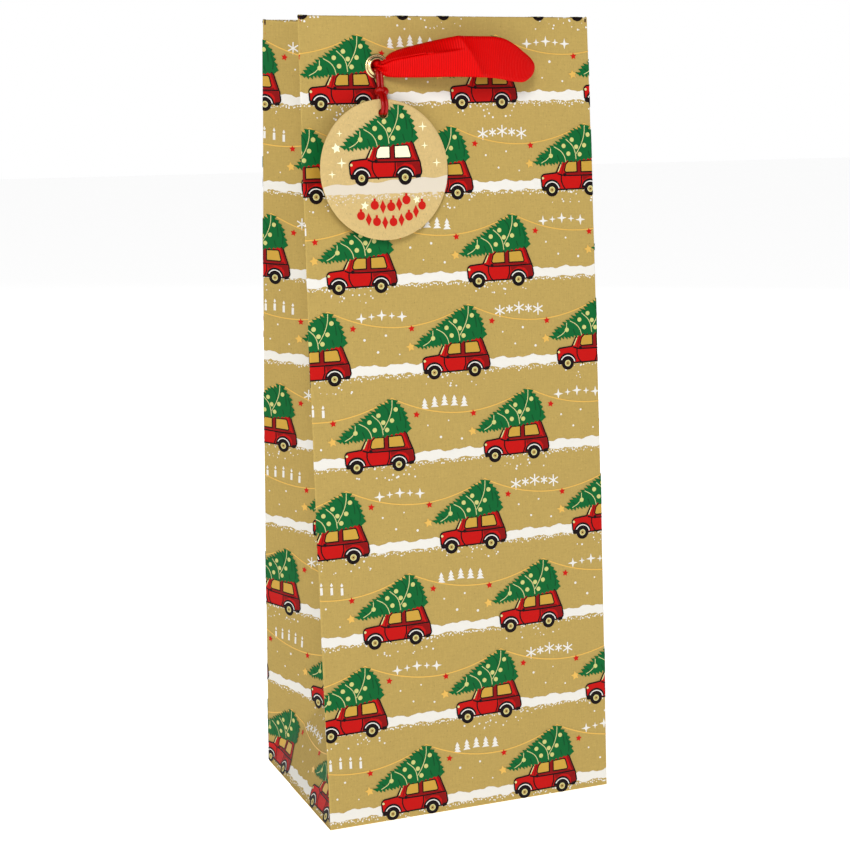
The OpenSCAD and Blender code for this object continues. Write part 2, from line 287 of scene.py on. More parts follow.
def tube(path, radius, sides=12, flat=1.0, close=False):
    """Points and faces of a tube along a path. flat squashes it along its second axis."""
    path = np.asarray(path, float)
    if close:
        way = np.roll(path, -1, 0) - np.roll(path, 1, 0)
    else:
        way = np.gradient(path, axis=0)
    way /= np.linalg.norm(way, axis=1, keepdims=True)
    normal = np.cross(way[0], [0.31, 0.2, 0.93])
    rings = []
    for centre, along in zip(path, way):
        normal = normal - along * np.dot(normal, along)
        normal /= np.linalg.norm(normal)
        side = np.cross(along, normal)
        angles = np.arange(sides) * 2 * np.pi / sides
        ring = np.cos(angles)[:, None] * normal + flat * np.sin(angles)[:, None] * side
        rings.append(centre + radius * ring)
    n = len(path)
    faces = grid_faces(n, sides, close=True, loop=close)
    if not close:
        faces += [tuple(range(sides))[::-1], tuple((n - 1) * sides + j for j in range(sides))]
    return np.vstack(rings), faces


# ---- materials ----
def linear(rgb):
    """An sRGB colour in 0 to 255 as linear values with alpha."""
    return tuple(((c / 255 + 0.055) / 1.055) ** 2.4 if c > 10 else c / 255 / 12.92 for c in rgb) + (1,)


def shade(rgb, share):
    """An sRGB colour made darker or lighter, as linear values with alpha."""
    return linear([min(c * share, 255) for c in rgb])


class Shader:
    """A material with short calls for its nodes."""

    def __init__(self, name, **values):
        self.material = bpy.data.materials.new(name)
        self.material.use_nodes = True
        self.tree = self.material.node_tree
        self.bsdf = self.tree.nodes["Principled BSDF"]
        for key, value in values.items():
            self.bsdf.inputs[key.replace("_", " ").title().replace("Ior", "IOR")].default_value = value

    def node(self, kind, *links, **values):
        made = self.tree.nodes.new("ShaderNode" + kind)
        for key, value in values.items():
            if key in made.bl_rna.properties:
                setattr(made, key, value)
            else:
                made.inputs[key.replace("_", " ").title()].default_value = value
        for source, socket in links:
            self.tree.links.new(source, made.inputs[socket])
        return made

    def place(self, scale, uv=True):
        """Coordinates on the flat sheet or in the object, in cells per metre."""
        if uv:
            source = self.node("UVMap", uv_map="sheet").outputs["UV"]
        else:
            source = self.node("TexCoord").outputs["Object"]
        return self.node("Mapping", (source, "Vector"), Scale=scale).outputs["Vector"]

    def noise(self, scale, detail=2.0, roughness=0.5, uv=True):
        where = self.place(scale, uv)
        made = self.node("TexNoise", (where, "Vector"), scale=1.0, detail=detail, roughness=roughness)
        return made.outputs["Fac"]

    def ramp(self, source, stops):
        """Colours by a source's value, with a stop for each place from 0 to 1."""
        made = self.node("ValToRGB", (source, "Fac"))
        ramp = made.color_ramp
        while len(ramp.elements) < len(stops):
            ramp.elements.new(0.5)
        for element, (at, colour) in zip(ramp.elements, stops):
            element.position = at
            element.color = colour
        return made.outputs["Color"]

    def mix(self, share, a, b, blend="MIX"):
        """Mixes two colours; each is a colour or a node's output, and share a number or output."""
        made = self.node("Mix", data_type="RGBA", blend_type=blend)
        for socket, value in ((0, share), (6, a), (7, b)):
            if isinstance(value, bpy.types.NodeSocket):
                self.tree.links.new(value, made.inputs[socket])
            else:
                made.inputs[socket].default_value = value
        return made.outputs[2]

    def maths(self, operation, a, b=0.0, clamp=False):
        """One Math node on two values; each is a number or a node's output."""
        made = self.node("Math", operation=operation, use_clamp=clamp)
        for socket, value in ((0, a), (1, b)):
            if isinstance(value, bpy.types.NodeSocket):
                self.tree.links.new(value, made.inputs[socket])
            else:
                made.inputs[socket].default_value = value
        return made.outputs[0]

    def spread(self, source, low, high):
        """Maps 0 to 1 onto low to high."""
        return self.maths("ADD", self.maths("MULTIPLY", source, high - low), low)

    def set(self, socket, source):
        self.tree.links.new(source, self.bsdf.inputs[socket])

    def bump(self, height, strength, distance):
        made = self.node("Bump", (height, "Height"), strength=strength, distance=distance)
        self.set("Normal", made.outputs["Normal"])


def grey(x):
    return (x, x, x, 1)


def paper_material(name, rgb, uv=True, wear_and_highlight=False):
    """Kraft paper: mottled pulp, long fibres both ways, dark and light flecks, and folds painted lighter for
    rub wear and painted highlights.
    """
    m = Shader(name, roughness=0.78, specular_ior_level=0.12)
    base = linear(rgb)
    cloud = m.noise((120, 120, 120), 3, 0.6, uv)
    pulp = m.noise((900, 900, 900), 3, 0.65, uv)
    along = m.noise((2600, 170, 900), 2, 0.5, uv)
    across = m.noise((170, 2600, 900), 2, 0.5, uv)
    fleck = m.noise((1500, 1100, 1100), 1, 0.5, uv)
    colour = m.mix(m.spread(cloud, -0.12, 0.32), base, shade(rgb, 0.90))
    colour = m.mix(m.spread(pulp, -0.25, 0.65), colour, shade(rgb, 0.87))
    colour = m.mix(m.spread(along, -0.25, 0.45), colour, shade(rgb, 1.10))
    colour = m.mix(m.spread(across, -0.20, 0.40), colour, shade(rgb, 0.86))
    dark = m.ramp(fleck, [(0.66, grey(0)), (0.74, grey(1))])
    colour = m.mix(m.maths("MULTIPLY", dark, 0.35), colour, shade(rgb, 0.62))
    light = m.ramp(fleck, [(0.25, grey(1)), (0.33, grey(0))])
    colour = m.mix(m.maths("MULTIPLY", light, 0.30), colour, shade(rgb, 1.18))
    if wear_and_highlight:
        rub_and_highlight = m.node("Attribute", attribute_name="wear_and_highlight").outputs["Fac"]
        rough = m.noise((700, 420, 500), 2, 0.6, uv)
        worn_and_highlight = m.maths("MULTIPLY", rub_and_highlight, m.ramp(rough, [(0.30, grey(0.15)), (0.62, grey(1))]), clamp=True)
        # Lighter along the folds, the rim and the base: partly rub wear, partly painted highlight on the
        # rounded folds.
        colour = m.mix(worn_and_highlight, colour, shade(rgb, 1.13))
    m.set("Base Color", colour)
    m.set("Roughness", m.spread(pulp, 0.70, 0.88))
    m.bump(m.maths("ADD", pulp, m.maths("ADD", along, across)), 0.30, 0.00006)
    return m.material


def ink_material(name, rgb, roughness=0.5, grain=0.25):
    """Printed ink: an even colour with the paper's grain in its gloss and surface."""
    m = Shader(name, base_color=linear(rgb), specular_ior_level=0.12)
    pulp = m.noise((900, 900, 900), 3, 0.65, uv=False)
    m.set("Roughness", m.spread(pulp, roughness - 0.1, roughness + 0.12))
    m.bump(pulp, grain, 0.00005)
    return m.material


def foil_material(name, rgb, roughness=0.34):
    """Hot-stamped foil: metallic, crinkled by the paper under it."""
    m = Shader(name, base_color=linear(rgb), metallic=0.35, specular_ior_level=0.3)
    crinkle = m.noise((1500, 1500, 1500), 3, 0.7, uv=False)
    m.set("Roughness", m.spread(crinkle, roughness - 0.1, roughness + 0.2))
    m.bump(crinkle, 0.5, 0.00008)
    return m.material


def board_material(name, rgb):
    """Grey card: coarse recycled pulp with flecks."""
    m = Shader(name, roughness=0.9)
    pulp = m.noise((700, 700, 700), 4, 0.7, uv=False)
    fleck = m.noise((1300, 1300, 1300), 1, 0.5, uv=False)
    colour = m.mix(pulp, linear(rgb), shade(rgb, 0.84))
    dark = m.ramp(fleck, [(0.64, grey(0)), (0.70, grey(0.5))])
    m.set("Base Color", m.mix(dark, colour, shade(rgb, 0.5)))
    m.bump(pulp, 0.4, 0.0001)
    return m.material


RIB_PITCH = 0.9  # of the ribs across the ribbon


def ribbon_material(name, rgb):
    """Grosgrain: the ribs are in the mesh, so this adds the weave, painted shade in the grooves between
    the ribs, and the sheen. At scale 2 the wave's bands repeat every pi / 20."""
    m = Shader(name, roughness=0.46, specular_ior_level=0.07)
    weave = m.noise((1100, 5200, 1), 2, 0.5)
    cloud = m.noise((240, 160, 1), 2, 0.5)
    along = m.place((math.pi / 20 / RIB_PITCH / MM, 1, 1))
    ribs = m.node(
        "TexWave", (along, "Vector"), wave_type="BANDS", bands_direction="X", scale=2.0, distortion=0.0,
    ).outputs["Fac"]
    colour = m.mix(m.spread(weave, 0, 0.5), linear(rgb), shade(rgb, 0.82))
    colour = m.mix(m.spread(cloud, -0.1, 0.3), colour, shade(rgb, 0.88))
    # Painted shade: the colour is darker in the grooves between the ribs.
    m.set("Base Color", m.mix(m.spread(ribs, 0.36, 0.0), colour, shade(rgb, 0.62)))
    m.set("Roughness", m.spread(weave, 0.38, 0.56))
    m.bump(m.maths("ADD", weave, ribs), 0.25, 0.00008)
    return m.material


def cord_material(name, rgb):
    """Satin cord: fine slanted threads wound round it."""
    m = Shader(name, roughness=0.34, specular_ior_level=0.3)
    threads = m.node(
        "TexWave", (m.place((1, 1, 1)), "Vector"), wave_type="BANDS", bands_direction="DIAGONAL",
        scale=900.0, distortion=0.6, detail=1.0,
    ).outputs["Fac"]
    cloud = m.noise((600, 600, 600), 2, 0.5, uv=False)
    colour = m.mix(m.spread(threads, 0.0, 0.35), linear(rgb), shade(rgb, 0.66))
    m.set("Base Color", m.mix(m.spread(cloud, -0.1, 0.3), colour, shade(rgb, 0.8)))
    m.bump(threads, 0.35, 0.00006)
    return m.material


def brass_material(name, rgb):
    """Pale lacquered brass with light handling marks."""
    m = Shader(name, metallic=1.0, roughness=0.22)
    cloud = m.noise((300, 300, 300), 3, 0.6, uv=False)
    marks = m.noise((4200, 900, 2600), 2, 0.6, uv=False)
    m.set("Base Color", m.mix(cloud, linear(rgb), shade(rgb, 0.88)))
    m.set("Roughness", m.spread(marks, 0.14, 0.34))
    m.bump(marks, 0.12, 0.00003)
    return m.material


KRAFT = paper_material("printed_kraft", (184, 157, 88), wear_and_highlight=True)
PLAIN_KRAFT = paper_material("plain_kraft", (196, 168, 108), uv=False)
CARD = paper_material("tag_card", (210, 182, 122), uv=False)
BOARD = board_material("grey_board", (152, 143, 128))
BRASS = brass_material("pale_brass", (240, 222, 160))
GROSGRAIN = ribbon_material("red_grosgrain", (230, 3, 2))
CORD = cord_material("red_satin_cord", (172, 4, 2))
SNOW = ink_material("snow_ink", (227, 224, 216), 0.6)
TAG_SNOW = ink_material("tag_snow_ink", (218, 207, 188), 0.6)
GREEN = ink_material("tree_green_ink", (4, 96, 44))
DEEP_GREEN = ink_material("tree_shade_ink", (2, 72, 32))
RED = ink_material("car_red_ink", (188, 8, 4))
DEEP_RED = ink_material("car_shade_ink", (132, 6, 6))
OUTLINE = ink_material("outline_ink", (16, 4, 6))
GOLD = foil_material("gold_foil", (226, 180, 86))
WINDOW_GOLD = foil_material("window_foil", (196, 154, 56))
PALE_GOLD = ink_material("strand_ink", (212, 206, 142))
BAUBLE = ink_material("bauble_ink", (200, 198, 122))
HUB = ink_material("hub_ink", (178, 150, 84))
SPARKLE = ink_material("sparkle_foil", (255, 250, 206), 0.4)
STAR_RED = ink_material("star_red_ink", (194, 22, 12))

# ---- camera ----
CAMERA_AT = (-287.1, -734.1, 300.0)
CAMERA_YAW, CAMERA_PITCH, CAMERA_ROLL = 22.67, 9.15, -0.49
CAMERA_LENS = 78.63
CAMERA_SHIFT = (-0.055, -0.043)


def make_camera():
    data = bpy.data.cameras.new("camera")
    data.lens = CAMERA_LENS
    data.sensor_width = 36
    data.shift_x, data.shift_y = CAMERA_SHIFT
    data.clip_start, data.clip_end = 0.05, 20
    camera = bpy.data.objects.new("camera", data)
    turn = Matrix.Rotation(math.radians(-CAMERA_YAW), 4, "Z")
    tip = Matrix.Rotation(math.radians(90 - CAMERA_PITCH), 4, "X")
    roll = Matrix.Rotation(math.radians(CAMERA_ROLL), 4, "Z")
    camera.matrix_world = Matrix.Translation(Vector(CAMERA_AT) * MM) @ turn @ tip @ roll
    bpy.context.scene.collection.objects.link(camera)
    bpy.context.scene.camera = camera


make_camera()

# ---- the tag's cord ----
CORD_DIA = 1.5
KNOT_OUT, KNOT_V = 3.5, EYELET_V - 10.6
CORD_SIDES = 14  # round the cord, and round the knot's strand
CORD_STEPS = 360
KNOT_STEPS = 140
# One strand's way from inside the eyelet to the knot, then round through the tag's hole and back
# up behind the card into the knot: across from the tag's middle, out from the panel, up the panel.
STRAND_ROUTE = [
    (-0.92, -1.5, 308.69), (-0.92, -0.5, 308.69), (-0.90, 0.9, 308.66), (-0.86, 2.0, 308.2),
    (-0.80, 2.7, 307.2), (-0.78, 3.0, 305.8), (-0.78, 3.2, 304.2), (-0.78, 3.4, 302.4),
    (-0.78, 3.8, 300.6), (-0.78, 4.8, 299.0), (-0.78, 6.3, 297.7), (-0.78, 7.2, 296.4),
    (-0.78, 7.65, 295.2), (-0.78, 7.7, 293.8), (-0.78, 7.35, 292.5), (-0.78, 6.5, 291.5),
    (-0.78, 5.2, 291.2), (-0.78, 3.95, 291.6), (-0.80, 3.05, 292.8), (-0.80, 2.7, 294.0),
    (-0.80, 2.65, 295.3), (-0.80, 2.7, 296.7), (-0.70, 2.6, 298.2), (-0.45, 2.55, 299.6), (-0.1, 2.55, 300.1),
]


def trefoil(size, count, squash):
    """A closed overhand knot's centreline."""
    t = np.linspace(0, 2 * np.pi, count, endpoint=False)
    return size / 3 * np.stack(
        [np.sin(t) + 2 * np.sin(2 * t), -np.sin(3 * t) * squash, np.cos(t) - 2 * np.cos(2 * t)], -1
    )


def make_cord():
    other = [(-x, out, v) for x, out, v in reversed(STRAND_ROUTE)]
    route = [panel_point(EYELET_X + x, out, v) for x, out, v in STRAND_ROUTE + other]
    path, far = curve_through(route, CORD_STEPS)
    points, faces = tube(path, CORD_DIA / 2, CORD_SIDES)
    sides = np.arange(CORD_SIDES)
    uv = np.stack([np.repeat(far, CORD_SIDES), np.tile(sides * CORD_DIA * np.pi / CORD_SIDES, len(path))], -1)
    cord = build("tag_cord_whole", points, faces, CORD, None, uv)
    knot_path = trefoil(1.9, KNOT_STEPS, squash=1.2) * np.array([1.05, 1.15, 0.98])
    knot_path = knot_path @ np.array(Matrix.Rotation(2.2, 3, "Y"))
    points, faces = tube(knot_path, 1.08, CORD_SIDES, close=True)
    centre = panel_point(EYELET_X + 0.25, KNOT_OUT + 0.5, KNOT_V)
    uv = np.stack([np.repeat(np.arange(KNOT_STEPS) * 0.2, CORD_SIDES), np.tile(sides * 0.33, KNOT_STEPS)], -1)
    knot = build("tag_cord_overhand_knot", points + centre, faces, CORD, "tag_string", uv)
    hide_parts("tag_cord", "tag_cord_loop", "tag_cord_tail")
    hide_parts("tag_cord_knot")
    start = panel_point(EYELET_X, KNOT_OUT, KNOT_V) * MM
    end = panel_point(EYELET_X, KNOT_OUT, KNOT_V - 2.6) * MM
    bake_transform(cord)


make_cord()

# ---- the paper ----
EYELETS = [(W / 2 + side * EYELET_X + turn * (W + D), EYELET_V) for turn in (0, 1) for side in (-1, 1)]
HOLE_R = 3.3  # of the holes in the paper for the eyelets
HEM_HOLE_SHIFT = 0.45  # the hem's holes are cut this much nearer the rim than mirrored in it
HEM_CUT = 2.0  # how far the turned-in hem stops short of the side folds


def lines(low, high, step, *dense):
    """Grid lines from low to high, a step apart, with a finer run round each dense place."""
    places = list(np.linspace(low, high, max(2, round((high - low) / step) + 1)))
    for middle, reach, fine in dense:
        places = [p for p in places if abs(p - middle) > reach or p in (low, high)]
        places += [middle + k * fine for k in range(-round(reach / fine), round(reach / fine) + 1)]
    return np.array(sorted({round(float(p), 4) for p in places if low <= p <= high}))


def near_eyelet(s, v):
    """True where the flat place falls in an eyelet's hole, outside or on the turned-in hem."""
    inside = 2 * H - v - HEM_HOLE_SHIFT
    return any((s - a) ** 2 + (min(abs(v - b), abs(inside - b))) ** 2 < HOLE_R**2 for a, b in EYELETS)


def on_paper(s, v):
    """True where there is paper: not in an eyelet's hole, and not at a side fold of the turned-in
    hem, which is cut back there."""
    return not near_eyelet(s, v) and not (v > H + 2.4 and fold_distance(s) < HEM_CUT)


def paper_sheet(name, s_lines, v_lines):
    """A piece of the printed sheet over the grid lines."""
    s, v = np.meshgrid(np.clip(s_lines, s_lines[0] + 0.01, s_lines[-1] - 0.01), v_lines)
    points = on_bag(s.ravel(), v.ravel())
    flat = np.stack([s.ravel(), v.ravel()], -1)
    faces = []
    for face in grid_faces(len(v_lines), len(s_lines)):
        a, b = flat[list(face)].mean(0)
        if on_paper(a, b):
            faces.append(face)
    used, faces = renumbered(faces)
    piece = build(name, points[used], faces, KRAFT, "bag", flat[used])
    rub_and_highlight = wear_and_highlight(flat[used][:, 0], flat[used][:, 1])
    attribute = piece.data.attributes.new("wear_and_highlight", "FLOAT", "POINT")
    attribute.data.foreach_set("value", rub_and_highlight)
    thicken(piece, PAPER)
    return piece


def wear_and_highlight(s, v):
    """How much lighter the paper is painted, for rub wear and painted highlights: along the side folds, the
    base, the rim and the gussets' middle folds.
    """
    # Each term is rub wear together with a painted highlight along a fold or edge.
    side = 0.85 * np.exp(-((fold_distance(s) / 0.5) ** 2))
    rim = 0.8 * np.exp(-(((v - H) / 0.6) ** 2))
    foot = 0.25 * np.exp(-((v / 0.9) ** 2))
    deep = np.minimum(np.abs(s + HALF), np.abs(s - W - HALF))
    inner = 0.35 * np.exp(-((deep / 0.5) ** 2)) * (v > HALF)
    return np.clip(np.max([side, rim, foot, inner], axis=0), 0, 1)


def make_shell():
    top = H + HEM
    # Where the grid is finer: how far to each side, and how far apart the lines are there
    rim, fold, hole = (3.2, 0.2), (2.4, 0.3), (4.8, 0.8)
    s_panel = lines(
        0, W, 3.2, (0, *fold), (W, *fold), (W / 2 + EYELET_X, *hole), (W / 2 - EYELET_X, *hole),
    )
    v_panel = lines(
        -HALF - FLAP_PAST, top, 3.2,
        (H, *rim), (EYELET_V, *hole), (2 * H - HEM_HOLE_SHIFT - EYELET_V, *hole), (0, *fold),
    )
    front = paper_sheet("front_sheet", s_panel, v_panel)
    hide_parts("front_panel", "front_hem", "base_outer_flap")
    back = paper_sheet("back_sheet", s_panel + W + D, v_panel)
    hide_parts("back_panel", "back_hem", "base_inner_flap")
    s_gusset = lines(0, D, 1.6, (0, *fold), (HALF, *fold), (D, *fold))
    v_gusset = lines(-1.5, top, 1.6, (H, *rim), (0, *fold))
    for side, start in (("left", -D), ("right", W)):
        gusset = paper_sheet(f"{side}_gusset_sheet", s_gusset + start, v_gusset)
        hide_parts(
            f"{side}_gusset_front", f"{side}_gusset_back", f"{side}_gusset_foot",
            f"{side}_front_gusset_hem", f"{side}_back_gusset_hem",
        )


make_shell()

# ---- the printed pattern ----
# One motif is a boxy red car with a tied-down fir on its roof, drawn in millimetres from the
# car's front bumper and the foot of its wheels.
PERIOD = 60  # from car to car along a row
ROW_PITCH = 36.5
TOP_ROW_V = 329  # row 0's wheels stand just below the rim
ROWS = range(-1, 11)  # counted down; row -1 lies on the turned-in hem
GUSSET_SHIFT = 6.0  # how much further along the sheet the pattern lies on the left gusset
WHEELS = (4.7, 22.4)
WHEEL_Y, WHEEL_R, ARCH_R = 2.8, 2.8, 4.0
BELT_Y, SILL_Y = 8.7, 2.4


def arc(x, y, r, start, end, count=10, squash=1.0):
    """Points along an arc, angles in degrees."""
    angles = np.radians(np.linspace(start, end, count))
    return [(x + r * math.cos(a), y + squash * r * math.sin(a)) for a in angles]


def disc(x, y, r, count=12):
    return arc(x, y, r, 0, 360 - 360 / count, count)


def rectangle(left, right, bottom, top):
    return [(left, bottom), (right, bottom), (right, top), (left, top)]


def star(x, y, r, points=5, inner=0.42, turn=90.0):
    """A star with the given number of points."""
    out = []
    for k in range(2 * points):
        a = math.radians(turn + 180 * k / points)
        reach = r if k % 2 == 0 else r * inner
        out.append((x + reach * math.cos(a), y + reach * math.sin(a)))
    return out


def stroke(path, width, close=False):
    """The outline of a line of even width along a path, as one or more polygons."""
    path = [np.array(p, float) for p in path]
    if close:
        path = path + [path[0]]
    pieces = []
    for a, b in zip(path, path[1:]):
        way = b - a
        length = np.linalg.norm(way)
        if length < 1e-6:
            continue
        side = np.array([-way[1], way[0]]) / length * width / 2
        ahead = way / length * width * 0.35
        start, end = a - ahead, b + ahead
        pieces.append([tuple(start - side), tuple(end - side), tuple(end + side), tuple(start + side)])
    return pieces


def car_body():
    """Outline of the car's body, front at the left, down to the sill."""
    nose = [(0.9, SILL_Y + 0.3), (0.2, 4.4), (0.0, 7.0)] + arc(1.7, 7.6, 1.7, 175, 98, 5)
    cabin = [(6.9, 9.8), (9.6, 15.0)] + arc(11.0, 14.7, 1.5, 150, 95, 3)
    tail = arc(24.6, 14.6, 1.7, 85, 20, 4) + [(27.5, 11.6), (28.8, 8.2)] + arc(27.3, 5.0, 2.0, 15, -70, 6)
    return nose + cabin + tail


WINDOWS = [
    [(11.3, 9.9), (16.5, 10.0), (16.5, 14.4), (12.6, 14.4), (11.4, 13.2), (10.7, 10.6)],
    [(18.4, 10.0), (24.8, 10.0), (25.2, 10.6), (24.2, 14.2), (23.6, 14.7), (18.4, 14.5)],
]
SCREEN = [(7.5, 10.2), (8.0, 10.2), (9.8, 14.0), (9.4, 14.2)]


def zigzag(edge, count, lean, reach, slit):
    """A toothed line along an edge, each tooth leaning by lean, with slits between the teeth."""
    line = np.array(spline(edge, count + 1))
    out = []
    for k, (a, b) in enumerate(zip(line, line[1:])):
        way = (b - a) / np.linalg.norm(b - a)
        outwards = np.array([-way[1], way[0]])
        size = 0.78 + 0.22 * math.cos(2.3 * k)
        out.append(tuple(a - outwards * slit * (0.6 + 0.4 * math.sin(1.7 * k))))
        out.append(tuple((a + b) / 2 + (outwards * reach + way * lean) * size))
    return out


def tree_outline():
    """A fir lying on the roof, tip over the bonnet: toothed all round, its foot rounded."""
    ridge = [(-2.9, 14.2), (-0.7, 16.7), (4.9, 20.5), (11, 24.4), (16.4, 27.8), (20.4, 29.2)]
    top = zigzag(ridge, 17, -1.1, 1.25, 1.0)
    foot = zigzag([(21.2, 29.8), (24.2, 26.6), (26.6, 22.4), (27.9, 16.6)], 7, 0.8, 0.8, 0.7)
    roof = zigzag([(27.4, 16.2), (23.5, 15.9), (18, 14.9), (10.4, 14.6)], 9, 0.3, 0.8, 0.3)
    under = zigzag([(9.6, 13.9), (5.2, 13.7), (0.4, 13.3), (-2.6, 13.9)], 8, -0.6, 1.0, 0.7)
    return top + foot + roof + under


STRANDS = [
    [(20.5, 29.3), (20.2, 25.6), (18.8, 21.6), (16.4, 17.6)],
    [(11.8, 23.6), (14.6, 21.0), (15.8, 18.4), (16.2, 15.4)],
    [(6.2, 20.6), (9.2, 18.8), (10.8, 16.6), (11.4, 14.4)],
    [(4.6, 19.8), (4.4, 17.4), (2.8, 15.4), (0.2, 14.0)],
]
BAUBLES = [
    (4.6, 16.9), (10.6, 20.9), (12.7, 17.6), (14.5, 23.4),
    (16.4, 20.4), (17.9, 17.3), (20.1, 21.0), (21.9, 25.4),
]
BRANCH_SHADES = [
    [(17.0, 27.4), (18.6, 25.2), (18.8, 22.8)], [(21.6, 28.4), (23.4, 24.4), (23.8, 20.6)],
    [(12.6, 25.0), (14.6, 22.8)], [(8.6, 22.0), (10.4, 20.2)], [(7.6, 17.0), (8.4, 15.0)],
    [(24.8, 24.0), (26.0, 20.4), (25.8, 17.6)], [(0.4, 16.2), (1.6, 15.2)], [(22.0, 18.6), (22.6, 16.6)],
]


def spline(points, count=14):
    return [tuple(p) for p in curve_through(points, count)[0]]


def put(art, layer, *polygons):
    """Adds polygons to one layer of the art."""
    art.setdefault(layer, []).extend(polygons)


def motif():
    """The car and tree as {layer: polygons}."""
    art = {}
    body = car_body()
    put(art, "red", body)
    put(art, "deep_red", [
        (9.2, 9.2), (9.6, 9.2), (11.6, 15.4), (24.8, 15.6),
        (27.2, 9.2), (28.4, 8.9), (25.4, 16.0), (10.6, 16.0),
    ])
    put(art, "deep_red", rectangle(16.6, 18.3, 9.2, 15.4))
    put(art, "deep_red", [(10.0, 9.1), (26.6, 9.1), (26.4, 9.8), (10.2, 9.8)])
    put(art, "deep_red", [
        (19.0, 8.3), (28.2, 8.3), (29.0, 5.4), (28.4, 3.2), (26.4, 2.6),
        (26.8, 5.6), (25.4, 7.4), (22.4, 8.0), (19.4, 6.4),
    ])
    put(art, "outline", *stroke(body, 0.6, close=True))
    belt = [(7.6, BELT_Y + 0.7), (10.2, BELT_Y), (19, BELT_Y - 0.1), (28.5, BELT_Y + 0.1)]
    put(art, "outline", *stroke(spline(belt, 12), 0.6))
    put(art, "outline", *stroke(spline([(9.2, BELT_Y), (9.2, 6.2), (10.2, 3.8), (11.6, SILL_Y)], 8), 0.5))
    put(art, "outline", *stroke([(18.5, BELT_Y), (18.5, 5.6), (17.6, 3.4)], 0.5))
    put(art, "outline", disc(10.8, 8.9, 0.7, 10))
    put(art, "outline", [(0.2, 2.7), (1.9, 2.7), (2.0, 4.2), (0.3, 4.3)])
    put(art, "outline", [(26.9, 2.4), (28.8, 2.7), (29.1, 4.0), (27.0, 3.8)])
    for window in WINDOWS:
        put(art, "window", window)
        put(art, "outline", *stroke(window, 0.5, close=True))
    put(art, "hub", SCREEN)
    put(art, "outline", *stroke([(6.7, 9.7), (9.7, 15.3)], 0.5))
    put(art, "hub", disc(0.7, 7.7, 0.55, 8))
    for x in WHEELS:
        put(art, "outline", arc(x, WHEEL_Y + 0.3, ARCH_R, 4, 176, 18))
        put(art, "trim", *stroke(arc(x, WHEEL_Y, 3.25, 12, 150, 12), 0.42))
        put(art, "outline", disc(x, WHEEL_Y, WHEEL_R, 24))
        put(art, "hub", disc(x, WHEEL_Y, 1.35, 14))
        put(art, "hub_dot", disc(x, WHEEL_Y, 0.95, 12))
        put(art, "hub_core", disc(x, WHEEL_Y, 0.35, 6))
    put(art, "green", tree_outline())
    for path in BRANCH_SHADES:
        put(art, "deep_green", *stroke(spline(path, 6), 0.4))
    for path in STRANDS:
        put(art, "strand", *stroke(spline(path, 10), 0.3))
    for x, y in BAUBLES:
        put(art, "bauble", disc(x, y, 0.95, 12))
    put(art, "gold", star(-5.0, 13.9, 2.0, 5, 0.5, 100))
    return art


# Heights of the layers above the paper, and the material of each
LAYERS = {
    "snow": (0.05, SNOW), "garland": (0.08, GOLD), "star": (0.11, STAR_RED),
    "red": (0.11, RED), "deep_red": (0.14, DEEP_RED), "gold": (0.17, GOLD),
    "window": (0.17, WINDOW_GOLD), "outline": (0.20, OUTLINE), "trim": (0.23, SNOW), "hub": (0.23, PALE_GOLD),
    "hub_dot": (0.26, HUB), "hub_core": (0.29, OUTLINE), "green": (0.26, GREEN),
    "deep_green": (0.29, DEEP_GREEN), "strand": (0.32, PALE_GOLD), "bauble": (0.35, BAUBLE),
}


def row_phase(row):
    """Where a row's cars start. Odd and even rows are half a step apart and drift to the right."""
    if row == 0:
        return 39.5
    return 4 + 2.33 * (row - 1) if row % 2 else 43 + 2.4 * (row - 2)


def ornaments(kind, x, y):
    """A short row of plain white ornaments that fills the place between two cars."""
    out = []
    for k in range(5):
        cx = x + 4.3 * k
        cy = y + 0.5 * math.cos(1.4 * (k - 2))
        if kind == 0:
            for turn in (0, 60, 120):
                a = math.radians(turn + 90)
                reach = 2.3 if k % 2 == 0 else 1.5
                dx, dy = reach * math.cos(a), reach * math.sin(a)
                out += stroke([(cx - dx, cy - dy), (cx + dx, cy + dy)], 0.55)
        elif kind == 1:
            out.append(rectangle(cx - 0.55, cx + 0.55, cy - 2.4, cy + 0.6))
            out.append([(cx, cy + 2.7), (cx - 0.6, cy + 1.5), (cx, cy + 0.9), (cx + 0.6, cy + 1.5)])
        elif kind == 2:
            for level, reach in ((-1.9, 1.7), (-0.6, 1.35), (0.7, 1.0)):
                out.append([(cx - reach, cy + level), (cx + reach, cy + level), (cx, cy + level + 1.9)])
        else:
            out.append(star(cx, cy, 2.3 if k % 2 == 0 else 1.5, 4, 0.3))
    return out


